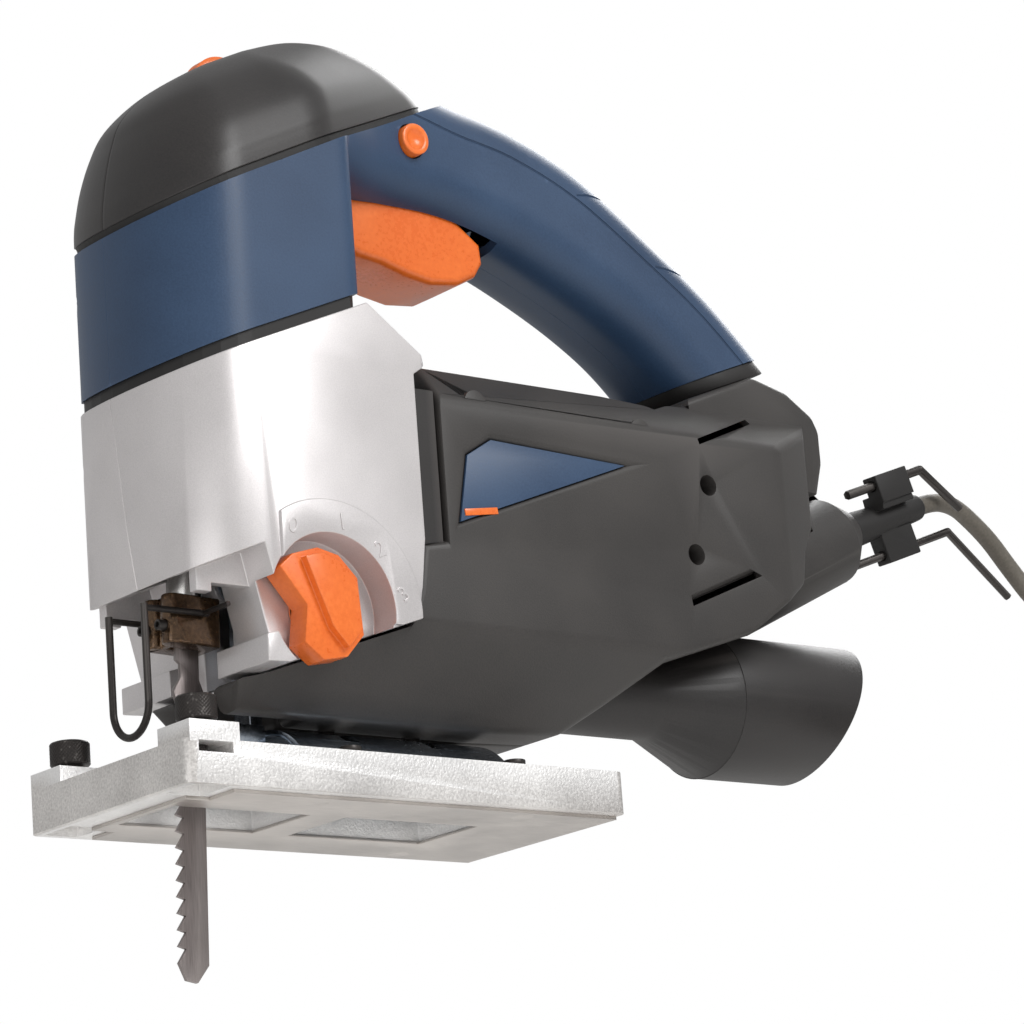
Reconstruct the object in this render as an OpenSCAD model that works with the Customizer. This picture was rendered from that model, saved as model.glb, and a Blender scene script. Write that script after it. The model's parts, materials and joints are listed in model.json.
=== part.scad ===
// Pendulum-action jigsaw with a closed D-handle.
// +X is the cutting direction, +Y the operator's left, +Z up.
// z = 0 is the underside of the sole; the blade passes through the origin.

/* [Base] */
// Length of the cast base plate
base_len = 150; // [140:1:160]
// Width of the cast base plate
base_w = 78; // [74:1:84]
// Thickness of the cast base plate
cast_t = 12; // [11:0.5:13]
// Thickness of the steel sole sheet
sheet_t = 1; // [0.8:0.1:1.2]
// Distance from the blade to the front edge of the base
base_front = 26.5; // [25:0.5:30]
// Outer radius of the bevel bracket's arch
arch_r = 24; // [23:0.5:24.5]

/* [Body] */
// Half width of the head and the gear housing
head_w = 36; // [35:0.5:38]
// Half width of the motor housing
motor_w = 34; // [33.5:0.5:35]
// Half width of the handle
grip_w = 20; // [19:0.5:22]
// Wall thickness of the shells
wall = 3; // [2.5:0.25:3.25]
// Height of the motor's axis over the sole
motor_z = 78; // [77:0.5:79]

/* [Blade drive] */
// Forward lean of the blade, in degrees from upright
blade_lean = 2.2; // [0:0.1:2.5]
// Distance from the blade tip to the sole at mid stroke
blade_reach = 45; // [40:1:60]
// Blade thickness
blade_t = 1.3; // [1:0.1:1.5]
// Tooth spacing
tooth_pitch = 4.5; // [3:0.5:6]
// Half of the blade's stroke
crank_r = 10; // [8:0.5:10]
// Radius of the plunger rod
plunger_r = 5; // [4.5:0.25:5]

/* [Motor] */
// Length of the laminated cores
core_len = 40; // [34:1:42]
// Outer radius of the stator
stator_r = 27; // [25:0.5:27]
// Radius of the armature core
armature_r = 17; // [15:0.5:17]
// Number of pinion teeth
pinion_teeth = 8; // [8:1:8]
// Number of teeth on the drive gear
gear_teeth = 52; // [52:1:52]

/* [Dust nozzle] */
// Outer radius of the nozzle's wide end
nozzle_r = 22; // [20:0.2:23]
// Wall of the nozzle
nozzle_wall = 2; // [1.5:0.1:2.5]

/* [Cord] */
// Diameter of the mains cord
cord_d = 6; // [5.5:0.1:6.5]

/* [Hidden] */

dial_axis = [-24, 213.6];  // x and z of the speed dial's axis
fit = 0.05;              // running clearance of a shaft in its bush, on the radius
base_top = sheet_t + cast_t;
base_rear = base_front - base_len;
tilt_z = 2;              // height of the bevel axis
arch_t = 1.8;
arch_x0 = -98;
arch_x1 = -26;
bevel_screw_x = [-48, -78];
rail_x0 = 11.5;          // slot for the parallel guide's bar
rail_x1 = 22.5;
rail_z = 9.5;
rail_h = 3;
thumb_x = 17.2;
thumb_y = 31;
boss_top = base_top + 5;

// Window outlines in the base, as [x0, x1] and half width
blade_window = [-31.5, 15];
rear_window = [-90, -41.5];
window_w = 15;

// Straight seams between cap, grip and gear housing, as height at x = 0 and rise to the rear
cap_seam = [173.5, 0.48];
band_low = [128, 0.415];
gear_top = [124.4, 0.415];
ring_top = [73, 0.382];
seam_gap = 1.1;
ring_h = 5;

gear_z = motor_z + (pinion_teeth + gear_teeth) / 2;
gear_x0 = -36;
gear_x1 = -28;
shaft_r = 4;
gear_pin_r = 5;
lever_x = -26.5;
lever_z = 53.5;
lever_shaft_r = 3;
dial_r = 30;
dial_inner_r = 20.5;
dial_floor_y = 27;

gear_outline = [[19, 116.5], [17.6, 103], [16.3, 88], [15.3, 78], [13, 62.5], [-5, 69.5], [-11, 46],
  [-4, 44], [-4, 36.5], [-12, 36.8], [-55, 51.6], [-58, 62], [-60, 76], [-60, 124], [-66, 128],
  [-45, 143.1]];
gear_inside = [[16, 150], [14.6, 103], [13.3, 88], [12.3, 78], [11.7, 74.3], [-9, 75.3], [-12, 62],
  [-20, 50], [-52, 60], [-57, 76], [-57, 123], [-61, 127], [-44, 139.5], [-41.5, 150]];
motor_outline = [[-70, 131], [-139, 131], [-153, 130], [-158, 128.2], [-202, 145], [-215, 141.8],
  [-224, 136], [-228, 128], [-228, 119], [-225, 109], [-219, 98], [-213, 89], [-210, 78],
  [-184, 60], [-150, 49], [-132, 36], [-120, 28], [-92, 27], [-6, 27], [-3, 34.5], [-12, 36.5],
  [-55, 51], [-58.5, 62], [-61, 75], [-70, 77]];
motor_inside = [[-73, 128], [-139, 128], [-155, 127], [-186, 136], [-202, 141], [-213, 138.5],
  [-221, 133.5], [-224.7, 127], [-224.7, 120], [-222, 110], [-216, 99], [-209, 90], [-206, 84],
  [-186, 72], [-150, 61], [-128, 42], [-118, 38], [-66, 38], [-66, 60], [-73, 72]];
// Half section of the motor housing across its width: half width against height
motor_section = [[0, 27], [16, 27], [34, 52], [34, 119], [24, 131], [0, 131]];

cuff_axis_end = [-249, 102.8];
cuff_dir = 25.6;         // rise of the cuff's axis to the rear, in degrees
cuff_r = 14.2;
sleeve_start = [-250, 103.8];
sleeve_dir = 20;
sleeve_len = 44;
sleeve_r = 6;
sleeve_end = [sleeve_start[0] - sleeve_len * cos(sleeve_dir), sleeve_start[1] + sleeve_len * sin(sleeve_dir)];

// Screw sites: x, z and the half length of the boss
left_screws = [[-170, 104, 33], [-163, 82, 33]];
motor_screws = [[-84, 119, 33], [-146, 118, 33], [-141, 62, 33]];
gear_screws = [[9, 103, 28], [-51, 124, 35]];
grip_screws = [[10, 152, 28], [-34, 160, 35], [-128, 190, 19], [-166, 163, 20]];
seat = 7;                // depth of a screw head under the end of its boss
boss_r = 4;

// Cap sections: height over the seam, front end, rear end, half width
cap_sections = [[0, -20.3, 102.6, 36], [8, -16, 99, 35.2], [15, -11, 94, 33], [22, -5, 87.5, 28.5],
  [28, 2, 80, 22.5], [32.5, 14, 70, 14.5], [35, 32, 57, 6]];
// Handle sections: x, z, fall to the rear in degrees, height, half width, corner radius
grip_sections = [[-30, 193, 0, 50, 35, 14], [-46, 203, 0, 42, 32, 14], [-62, 203.5, 0, 41, 25, 14],
  [-76, 203, 4, 41, 22, 14], [-94, 200.5, 10, 39, 20.5, 14], [-114, 196.5, 18, 40, 20, 14],
  [-137, 188, 27, 39.5, 20, 14], [-164, 173, 36, 35.5, 20.5, 14], [-185, 158, 42, 34.5, 21, 14],
  [-210, 133, 46, 35, 22, 14]];

// Cord route from the sleeve to the coil, and from the coil to the plug
cord_points = [[sleeve_end[0], 0, sleeve_end[1]], [-298, -0.3, 120.9], [-305, -1.4, 122],
  [-312.5, -3.2, 121.6], [-320.5, -5, 118.8], [-330, -6.2, 113], [-338.5, -6, 104], [-345.5, -3.5, 94],
  [-351, 2.7, 84.5], [-355.5, 12, 75], [-359, 20.5, 65], [-361.5, 28.6, 53], [-363.5, 35.3, 40.5],
  [-365.2, 42, 28], [-366, 48.5, 16.5], [-366, 55.5, 9.5], [-366, 64, 5], [-366, 73, 3]];
coil_centre = [-321, 73];
coil_r = 36;             // radius at the middle of the turns
coil_rows = 4;
coil_layers = 2;
coil_top = coil_layers * cord_d;
plug_x = -316;           // rear face of the plug, which lies on the coil
plug_y = 100;
plug_r = 17;
plug_z = coil_top + plug_r;
boot_z = plug_z - 1.5;
tail_points = [[-357.6, 59.7, 13.8], [-360, 73, 18.3], [-359.1, 80, 20.7], [-356.4, 86.5, 22.9],
  [-352.1, 92.1, 24.9], [-346.5, 96.4, 26.4], [-340, 99.1, 27.3], [-333, 100, 27.5], [-326, 100, 27.5]];

// ---------- helpers ----------

module slab_y(points, half) {
  translate([0, half, 0]) rotate([90, 0, 0]) linear_extrude(2 * half) polygon(points);
}

module rod_x(x0, x1, y, z, r) {
  translate([x0, y, z]) rotate([0, 90, 0]) cylinder(h = x1 - x0, r = r, $fn = 64);
}

module rod_y(y0, y1, x, z, r) {
  translate([x, y1, z]) rotate([90, 0, 0]) cylinder(h = y1 - y0, r = r, $fn = 64);
}

// A rod in the XZ plane that starts at a point and rises to the rear
module rod_rising(start, rise, len, r, y = 0) {
  translate([start[0], y, start[1]]) rotate([0, -90 + rise, 0]) cylinder(h = len, r = r, $fn = 64);
}

module side_of(side) {
  translate([-500, side > 0 ? 0 : -200, -100]) cube([700, 200, 500]);
}

// Everything below the plane z = seam[0] - seam[1] * x, raised by up
module below(seam, up) {
  slab_y([[150, seam[0] - seam[1] * 150 + up], [-400, seam[0] + seam[1] * 400 + up], [-400, -100], [150, -100]], 120);
}

module above(seam, up) {
  slab_y([[150, seam[0] - seam[1] * 150 + up], [-400, seam[0] + seam[1] * 400 + up], [-400, 400], [150, 400]], 120);
}

function nose(front, depth, half) =
  [for (i = [0 : 16]) let (t = 90 - 180 * i / 16) [front - depth + depth * cos(t), half * sin(t)]];
function head_plan(front, depth, half, rear, corner) =
  concat(nose(front, depth, half), [[rear + corner, -half], [rear, -half + corner],
    [rear, half - corner], [rear + corner, half]]);

module blade_frame() {
  rotate([0, -blade_lean, 0]) children();
}

module bosses(sites) {
  for (p = sites) rod_y(-p[2], p[2], p[0], p[1], boss_r);
}

// Counterbore and pilot hole of each screw; the head is on the side given
module screw_holes(sites, side) {
  for (p = sites) mirror([0, side > 0 ? 0 : 1, 0]) {
    rod_y(p[2] - seat, 60, p[0], p[1], 3.2);
    rod_y(-10, 60, p[0], p[1], 1.65);
  }
}

module screws(sites, side) {
  for (p = sites) mirror([0, side > 0 ? 0 : 1, 0]) difference() {
    union() {
      rod_y(-9.5, p[2] - seat + 0.5, p[0], p[1], 1.6);
      rod_y(p[2] - seat, p[2] - seat + 2.2, p[0], p[1], 3);
    }
    for (a = [0, 90]) translate([p[0], p[2] - seat + 2, p[1]]) rotate([0, a, 0]) cube([3.4, 2.4, 0.9], center = true);
  }
}

// ---------- base ----------

module window_cut(window, half, low, high) {
  translate([window[0], -half, low]) cube([window[1] - window[0], 2 * half, high - low]);
}

module base_plate() {
  color("silver") difference() {
    union() {
      translate([base_rear + 3, -base_w / 2 + 3, sheet_t]) plate_block();
      for (s = [-1, 1]) translate([thumb_x - 8, s > 0 ? base_w / 2 - 15 : -base_w / 2, base_top - 1])
        cube([16, 15, boss_top - base_top + 1]);
    }
    window_cut(blade_window, window_w, 0, base_top + 1);
    window_cut(rear_window, window_w, 0, base_top + 1);
    translate([rail_x0, -base_w / 2 - 1, rail_z]) cube([rail_x1 - rail_x0, base_w + 2, rail_h]);
    for (s = [-1, 1]) {
      translate([rail_x0 + 0.5, s * 30 - 7, sheet_t - 1]) cube([base_front - rail_x0 - 4, 14, 6]);
      translate([thumb_x, s * thumb_y, base_top - 4]) cylinder(h = 20, r = 2.6, $fn = 48);
      for (x = [-36.5, -94]) translate([x, s * 19, sheet_t + 2]) cylinder(h = 20, r = 2, $fn = 48);
    }
  }
}

module plate_block() {
  // plate with its four upright edges rounded
  linear_extrude(cast_t) union() {
    translate([-3, 0]) square([base_len, base_w - 6]);
    translate([0, -3]) square([base_len - 6, base_w]);
    for (x = [0, base_len - 6], y = [0, base_w - 6]) translate([x, y]) circle(r = 3, $fn = 48);
  }
}

module sole_sheet() {
  color("lightsteelblue") difference() {
    linear_extrude(sheet_t) polygon([[base_rear + 0.5, -34.5], [9, -34.5], [9, -23], [16.5, -23], [16.5, 23],
      [9, 23], [9, 34.5], [base_rear + 0.5, 34.5]]);
    window_cut([blade_window[0] + 1, blade_window[1] - 1], window_w - 1, -1, 3);
    window_cut([rear_window[0] + 1, rear_window[1] - 1], window_w - 1, -1, 3);
  }
}

module bevel_bracket() {
  color("gainsboro") difference() {
    union() {
      rod_x(arch_x0, arch_x1, 0, tilt_z, arch_r);
      for (s = [-1, 1]) translate([arch_x0, s > 0 ? 17 : -30, base_top]) cube([arch_x1 - arch_x0, 13, 2]);
    }
    rod_x(arch_x0 - 1, arch_x1 + 1, 0, tilt_z, arch_r - arch_t);
    translate([arch_x0 - 1, -40, -40]) cube([arch_x1 - arch_x0 + 2, 80, 40 + base_top]);
    for (x = bevel_screw_x) translate([x - 3, -13.5, tilt_z]) cube([6, 27, 30]);
    for (s = [-1, 1], x = [-36.5, -94]) translate([x, s * 26, 10]) cylinder(h = 10, r = 2, $fn = 48);
  }
}

module bracket_screws() {
  color("dimgray") for (s = [-1, 1], x = [-36.5, -94]) translate([x, s * 26, base_top + 2]) difference() {
    union() {
      cylinder(h = 2, r = 3.2, $fn = 48);
      translate([0, 0, -2]) cylinder(h = 2, r = 1.9, $fn = 48);
    }
    translate([0, 0, 0.8]) cylinder(h = 2, r = 1.6, $fn = 6);
  }
}

module thumb_screw(s) {
  color("#222222") translate([thumb_x, s * thumb_y, 0]) union() {
    translate([0, 0, base_top - 3]) cylinder(h = 10, r = 2.5, $fn = 48);
    translate([0, 0, boss_top + 1.2]) cylinder(h = 7.2, r = 5.65, $fn = 64);
    translate([0, 0, boss_top + 0.4]) cylinder(h = 1, r = 4, $fn = 48);
  }
}

module thumb_screw_left() { thumb_screw(1); }
module thumb_screw_right() { thumb_screw(-1); }

// ---------- shells ----------

module cap_frame() {
  translate([0, 0, cap_seam[0]]) rotate([0, atan(cap_seam[1]), 0]) mirror([1, 0, 0]) children();
}

module cap_slice(section, inset) {
  w = section[3] - inset;
  depth = 26 * section[3] / 36;
  rear = 19 * section[3] / 36;
  lift = section[0] > 0 ? section[0] - inset : -2 * (inset > 0 ? 1 : 0);
  translate([section[1] + depth, 0, lift]) scale([(depth - inset) / w, 1, 1]) cylinder(h = 0.02, r = w, $fn = 32);
  translate([min(section[1] + 1.6 * depth + 10, section[2] - rear), 0, lift]) cylinder(h = 0.02, r = w, $fn = 32);
  translate([section[2] - rear, 0, lift]) cylinder(h = 0.02, r = max(rear - inset, 1), $fn = 32);
}

module cap_body(inset) {
  cap_frame() for (i = [0 : len(cap_sections) - 2]) hull() {
    cap_slice(cap_sections[i], inset);
    cap_slice(cap_sections[i + 1], inset);
  }
}

module cap_shell(side) {
  color("#2a2a2c") intersection() {
    difference() {
      cap_body(0);
      cap_body(wall);
      below(cap_seam, seam_gap);
      rod_y(-3.6, 3.6, dial_axis[0], dial_axis[1], 11.6);
    }
    side_of(side);
  }
}

module cap_left() { cap_shell(1); }
module cap_right() { cap_shell(-1); }

module band_body(inset) {
  linear_extrude(240) polygon(head_plan(18.6 - inset, 24 - inset, head_w - inset, -44.5 + inset, 4));
}

// Rounded rectangle of 36 points, square to the handle's fall
function grip_ring(s, inset) =
  [for (k = [0 : 3], i = [0 : 8]) let (a = 90 * k + 90 * i / 8, r = s[5] - inset,
    y = (k == 0 || k == 3 ? 1 : -1) * (s[4] - s[5]) + r * cos(a),
    z = (k < 2 ? 1 : -1) * (s[3] / 2 - s[5]) + r * sin(a))
    [s[0] - z * sin(s[2]), y, s[1] + z * cos(s[2])]];

module grip_body(inset) {
  count = 36;
  last = len(grip_sections) - 1;
  points = [for (s = grip_sections) each grip_ring(s, inset)];
  walls = [for (i = [0 : last - 1], k = [0 : count - 1]) let (j = (k + 1) % count, a = i * count, b = a + count)
    each [[a + k, a + j, b + j], [a + k, b + j, b + k]]];
  polyhedron(points, concat(walls, [[for (k = [count - 1 : -1 : 0]) k]],
    [[for (k = [0 : count - 1]) last * count + k]]));
}

module grip_shell(side) {
  color("#2b4464") intersection() {
    difference() {
      union() {
        difference() {
          union() {
            band_body(0);
            grip_body(0);
          }
          band_body(wall);
          grip_body(wall);
        }
        intersection() {
          bosses(grip_screws);
          union() {
            band_body(wall / 2);
            grip_body(wall / 2);
          }
        }
        // web that holds the upper plunger bush, and the trigger's pin
        intersection() {
          union() {
            translate([-17, -40, 136]) cube([22, 80, 5]);
            rod_y(-40, 40, -54, 193, 1.5);
          }
          union() {
            band_body(wall / 2);
            grip_body(wall / 2);
          }
        }
      }
      intersection() {
        below(band_low, 0);
        translate([-48, -60, 0]) cube([80, 120, 200]);
      }
      above(cap_seam, -seam_gap);
      below(ring_top, 0);
      blade_frame() cylinder(h = 200, r = 8.02, $fn = 64);
      // trigger slot
      translate([-113, -13, 150]) cube([65.5, 26, 40]);
      // lock button hole, and the screws' holes
      rod_y(0, 40, -76, 201, 5.3);
      screw_holes(grip_screws, -1);
    }
    side_of(side);
  }
}

module grip_left() { grip_shell(1); }
module grip_right() { grip_shell(-1); }

module gear_solid() {
  intersection() {
    slab_y(gear_outline, head_w);
    linear_extrude(160) polygon(head_plan(19, 24, head_w, -66, 3));
    below(gear_top, 0);
  }
}

module gear_hollow() {
  intersection() {
    slab_y(gear_inside, head_w);
    linear_extrude(160) polygon(head_plan(19 - wall, 24 - wall, head_w - wall, -66, 3));
  }
}

// Clamp cage: the narrower front frame under the nose
module cage() {
  difference() {
    translate([-22, -24, 45]) cube([32, 48, 28]);
    translate([-30, -20.5, 40]) cube([60, 41, 40]);
    for (s = [-1, 1]) translate([-13, s > 0 ? 20 : -25, 44]) cube([18, 5, 16]);
    translate([-2, -30, 40]) cube([16, 60, 17.5]);
  }
}

module gear_shell(side) {
  color("silver") intersection() {
    difference() {
      union() {
        difference() {
          gear_solid();
          gear_hollow();
        }
        cage();
        intersection() {
          bosses(gear_screws);
          gear_solid();
        }
        // seat of the lower plunger bush, and the fork's pivot lugs
        translate([-16, -14, 73.5]) cube([22, 28, 9]);
        for (s = [-1, 1]) rod_y(s > 0 ? 6 : -34, s > 0 ? 34 : -6, fork_x, fork_z, 5);
        if (side > 0) intersection() {
          rod_y(dial_floor_y - 3, head_w - 0.5, lever_x, lever_z, dial_inner_r + 2.5);
          gear_solid();
        }
        // raised arc that carries the numbers
        if (side > 0) intersection() {
          rod_y(head_w - 4, head_w + 1.2, lever_x, lever_z, dial_r);
          translate([-90, 0, 50]) cube([80, 60, 60]);
        }
      }
      if (side > 0) {
        // stepped recess of the orbital scale, and the bore of its shaft
        rod_y(dial_floor_y, head_w + 2, lever_x, lever_z, dial_inner_r);
      }
      rod_y(-12, head_w, lever_x, lever_z, lever_shaft_r + fit);
      below([33, 0.345], 0);
      blade_frame() translate([0, 0, 60]) cylinder(h = 60, r = 8.02, $fn = 64);
      rod_y(-14.2, 14.2, fork_x, fork_z, 2.5);
      // way of the roller fork, room of the blade clamp, and opening for the gear plate
      translate([-31, -7, 30]) cube([22.5, 14, 34]);
      translate([-13, -11.5, 30]) cube([24.4, 23, 42]);
      translate([-72, -31, 60]) cube([20, 62, 60]);
      screw_holes(gear_screws, -1);
    }
    side_of(side);
  }
}

module gear_housing_left() { gear_shell(1); }
module gear_housing_right() { gear_shell(-1); }

module motor_solid(inset) {
  right = [for (p = motor_section) [max(p[0] - inset, 0), p[1]]];
  left = [for (i = [len(right) - 2 : -1 : 1]) [-right[i][0], right[i][1]]];
  intersection() {
    slab_y(inset > 0 ? motor_inside : motor_outline, 60);
    rotate([90, 0, 90]) translate([0, 0, -230]) linear_extrude(240) polygon(concat(right, left));
    linear_extrude(160) polygon(motor_plan(inset));
  }
  // neck that carries the handle
  intersection() {
    slab_y(inset > 0 ? motor_inside : motor_outline, 24 - inset);
    translate([-228, -30, 110]) cube([54 - inset, 60, 60]);
  }
}

function motor_plan(inset) = let (w = motor_w - inset) [[0, -w], [-200, -w], [-218, -w + 7], [-228 + inset, -w + 20],
  [-228 + inset, w - 20], [-218, w - 7], [-200, w], [0, w]];

// Round cuff of the cord, from a half profile that starts 50 mm down its axis
module cuff(profile) {
  translate([cuff_axis_end[0] + 50 * cos(cuff_dir), 0, cuff_axis_end[1] - 50 * sin(cuff_dir)])
    rotate([0, -90 + cuff_dir, 0]) rotate_extrude($fn = 64) polygon(profile);
}

module nozzle_room() {
  rod_x(-186, -127, 0, nozzle_z, 12.6);
  translate([-166, 0, nozzle_z]) rotate([0, -90, 0]) cylinder(h = 23, r1 = 12.6, r2 = nozzle_r + 0.6, $fn = 64);
  rod_x(-270, -188.9, 0, nozzle_z, nozzle_r + 0.6);
}

nozzle_z = 45.2;
panel_points = [[-75, 83], [-79, 103], [-88, 108.5], [-138, 106.5]];

module motor_shell(side) {
  color("#323234") intersection() {
    difference() {
      union() {
        difference() {
          union() {
            motor_solid(0);
            cuff([[0, 0], [cuff_r, 0], [cuff_r, 50], [8, 59], [0, 59]]);
          }
          motor_solid(wall);
          cuff([[0, 6], [cuff_r - wall, 6], [cuff_r - wall, 49], [6.5, 55], [0, 55]]);
        }
        bosses(concat(left_screws, motor_screws));
        // webs that hold the stator and the rear bearing
        difference() {
          intersection() {
            for (x = [-92, -124, -154]) translate([x, -33, 36]) cube([2.5, 66, 88]);
            motor_solid(wall / 2);
          }
          rod_x(-130, -80, 0, motor_z, stator_r);
          rod_x(-156.5, -140, 0, motor_z, 9.5);
          translate([-135, -9.2, 35]) cube([70, 18.4, 13.5]);
        }
      }
      nozzle_room();
      // way of the roller fork, dust channel behind it, and pocket of the gear plate
      translate([-31, -9.5, 20]) cube([40, 19, 40]);
      translate([-66.5, -9.5, 36.5]) cube([40, 19, 24]);
      translate([-69.3, -32.8, 56.7]) cube([11.5, 65.6, 26]);
      rod_x(-76, -60, 0, motor_z, 16);
      translate([-128, -9.2, 38]) cube([12, 18.4, 12]);
      rod_x(arch_x0 - 2, arch_x1 + 2, 0, tilt_z, arch_r + 0.5);
      rod_rising([-240, 100.16], sleeve_dir, 60, sleeve_r);
      translate([-204, -14, 120]) cube([18, 28, 40]);
      for (x = bevel_screw_x) translate([x, 0, 20]) cylinder(h = 20, r = 2.55, $fn = 48);
      for (s = [-1, 1]) translate([0, s * (motor_w - 0.3), 0]) slab_y(panel_points, 1);
      screw_holes(left_screws, 1);
      screw_holes(motor_screws, -1);
      for (z = [116.5, 66]) translate([z > 100 ? -168 : -160, -40, z]) rotate([0, 22.5, 0])
        translate([-31, 0, 0]) cube([31, 80, 1.8]);
    }
    side_of(side);
  }
}

module motor_housing_left() { motor_shell(1); }
module motor_housing_right() { motor_shell(-1); }

module upper_seam_strip() {
  color("#1b1b1b") intersection() {
    difference() {
      cap_body_tall(0.8);
      cap_body_tall(wall);
    }
    below(cap_seam, seam_gap);
    above(cap_seam, -seam_gap);
  }
}

module cap_body_tall(inset) {
  cap_frame() translate([0, 0, -5]) linear_extrude(10) hull() {
    s = cap_sections[0];
    w = s[3] - inset;
    translate([s[1] + 26, 0]) scale([(26 - inset) / w, 1]) circle(r = w, $fn = 64);
    translate([s[1] + 51.6, 0]) circle(r = w, $fn = 64);
    translate([s[2] - 19, 0]) circle(r = 19 - inset, $fn = 64);
  }
}

module lower_seam_strip() {
  color("#1b1b1b") difference() {
    intersection() {
      linear_extrude(160) polygon(head_plan(17.8, 23.2, head_w - 0.8, -43.7, 4));
      below(band_low, 0);
      above(gear_top, 0);
    }
    linear_extrude(160) polygon(head_plan(15.4, 21, head_w - wall, -41.5, 4));
  }
}

module handle_ring() {
  color("#1b1b1b") difference() {
    intersection() {
      below(ring_top, 0);
      above([68, 0.382], 0);
      grip_body(0.6);
    }
    translate([-204, -14, 100]) cube([18, 28, 80]);
  }
}

module side_panels() {
  color("#2b4464") for (s = [-1, 1]) translate([0, s * (motor_w - 0.8), 0]) slab_y(panel_points, 0.5);
}

module housing_screws() {
  color("dimgray") {
    screws(left_screws, 1);
    screws(concat(motor_screws, gear_screws, grip_screws), -1);
  }
}

module bevel_clamp_screws() {
  color("dimgray") for (x = bevel_screw_x) translate([x, 0, 0]) union() {
    translate([0, 0, 22]) cylinder(h = 13.6, r = 2.5, $fn = 48);
    difference() {
      translate([0, 0, 19.4]) cylinder(h = 4, r = 4.5, $fn = 48);
      translate([0, 0, 19]) cylinder(h = 2.5, r = 2.3, $fn = 6);
    }
  }
}

// ---------- motor ----------

core_x1 = -86;
core_x0 = core_x1 - core_len;

module stator_core() {
  color("slategray") difference() {
    rod_x(core_x0, core_x1, 0, motor_z, stator_r);
    rod_x(core_x0 - 1, core_x1 + 1, 0, motor_z, armature_r + 0.6);
    for (s = [-1, 1]) translate([core_x0 - 1, -9, motor_z + (s > 0 ? 14 : -22)]) cube([core_len + 2, 18, 8]);
  }
}

module field_coils() {
  color("#b5651d") for (s = [-1, 1]) difference() {
    translate([core_x0 - 6, -8.8, motor_z + (s > 0 ? 17.8 : -21.8)]) cube([core_len + 12, 17.6, 4]);
    rod_x(core_x0 - 7, core_x1 + 7, 0, motor_z, armature_r + 0.8);
  }
}

module ring_x(x0, x1, y, z, r_out, r_in) {
  difference() {
    rod_x(x0, x1, y, z, r_out);
    rod_x(x0 - 1, x1 + 1, y, z, r_in);
  }
}

module front_bearing() {
  color("lightgray") ring_x(-48, -41, 0, motor_z, 9.5, shaft_r + fit);
}

module rear_bearing() {
  color("lightgray") ring_x(-156, -149, 0, motor_z, 9.5, shaft_r + fit);
}

module brush_holders() {
  color("goldenrod") for (s = [-1, 1]) difference() {
    translate([-143, s > 0 ? 13.5 : -27.5, motor_z - 5]) cube([10, 14, 10]);
    translate([-141.5, s > 0 ? 12 : -29, motor_z - 3.5]) cube([7, 17, 7]);
  }
}

module carbon_brushes() {
  color("#222222") for (s = [-1, 1]) translate([-141.4, s > 0 ? 12.4 : -24.4, motor_z - 3.4]) cube([6.8, 12, 6.8]);
}

module armature() {
  color("slategray") union() {
    rod_x(-158, -40.5, 0, motor_z, shaft_r);
    rod_x(-41, -26, 0, motor_z, 2.7);
    for (i = [0 : pinion_teeth - 1]) translate([-39, 0, motor_z]) rotate([360 / pinion_teeth * i, 0, 0])
      translate([0, -0.5, 2]) cube([13, 1, 1.6]);
    rod_x(core_x0, core_x1, 0, motor_z, armature_r);
    rod_x(core_x0 - 5, core_x1 + 4, 0, motor_z, 12.5);
    rod_x(-144, -132, 0, motor_z, 12);
  }
}

module fan() {
  color("#3a3a3a") difference() {
    union() {
      rod_x(-80, -78.5, 0, motor_z, 23);
      rod_x(-80, -73, 0, motor_z, 7);
      for (i = [0 : 11]) translate([-79, 0, motor_z]) rotate([30 * i, 0, 0]) translate([0, -0.6, 6]) cube([6, 1.2, 16.8]);
    }
    rod_x(-81, -72, 0, motor_z, shaft_r);
  }
}

module gear_plate() {
  color("gray") difference() {
    union() {
      translate([-69, -32.5, 57]) cube([7, 65, 64]);
      translate([-62, 0, motor_z]) rotate([0, 90, 0]) cylinder(h = 21, r1 = 17, r2 = 12.5, $fn = 64);
      rod_x(-63, -40, 0, gear_z, 9);
    }
    rod_x(-48, -40, 0, motor_z, 9.5);
    rod_x(-75, -40, 0, motor_z, 6.5);
    rod_x(-64, -39, 0, gear_z, gear_pin_r);
  }
}

module gear_pin() {
  color("lightgray") rod_x(-63, gear_x1 + 0.5, 0, gear_z, gear_pin_r);
}

// ---------- blade drive ----------

module drive_gear() {
  tip = gear_teeth / 2 + 0.25;
  root = gear_teeth / 2 - 1.3;
  color("#8d8f92") difference() {
    union() {
      rod_x(gear_x0, gear_x1, 0, gear_z, root);
      for (i = [0 : gear_teeth - 1]) translate([gear_x0, 0, gear_z]) rotate([360 / gear_teeth * (i + 0.5), 0, 0])
        translate([0, -0.62, root - 0.5]) cube([gear_x1 - gear_x0, 1.24, tip - root + 0.5]);
      rod_x(gear_x1 - 0.5, -15.5, crank_r, gear_z, 4);
      rod_x(gear_x0 - 2, gear_x0 + 1, 0, gear_z, 8);
    }
    rod_x(gear_x0 - 3, gear_x1 + 0.6, 0, gear_z, gear_pin_r + fit);
  }
}

module plunger() {
  color("lightgray") blade_frame() union() {
    translate([0, 0, 56]) cylinder(h = 103, r = plunger_r, $fn = 64);
    difference() {
      translate([-9.5, -17, gear_z - 7]) cube([6, 34, 14]);
      translate([-12, -14.5, gear_z - 4.3]) cube([8, 29, 8.6]);
    }
  }
}

module plunger_bushes() {
  color("#b8860b") blade_frame() for (z = [73.8, 132.2]) difference() {
    translate([0, 0, z]) cylinder(h = 8.4, r = 8, $fn = 64);
    translate([0, 0, z - 1]) cylinder(h = 12, r = plunger_r + fit, $fn = 64);
  }
}

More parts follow.
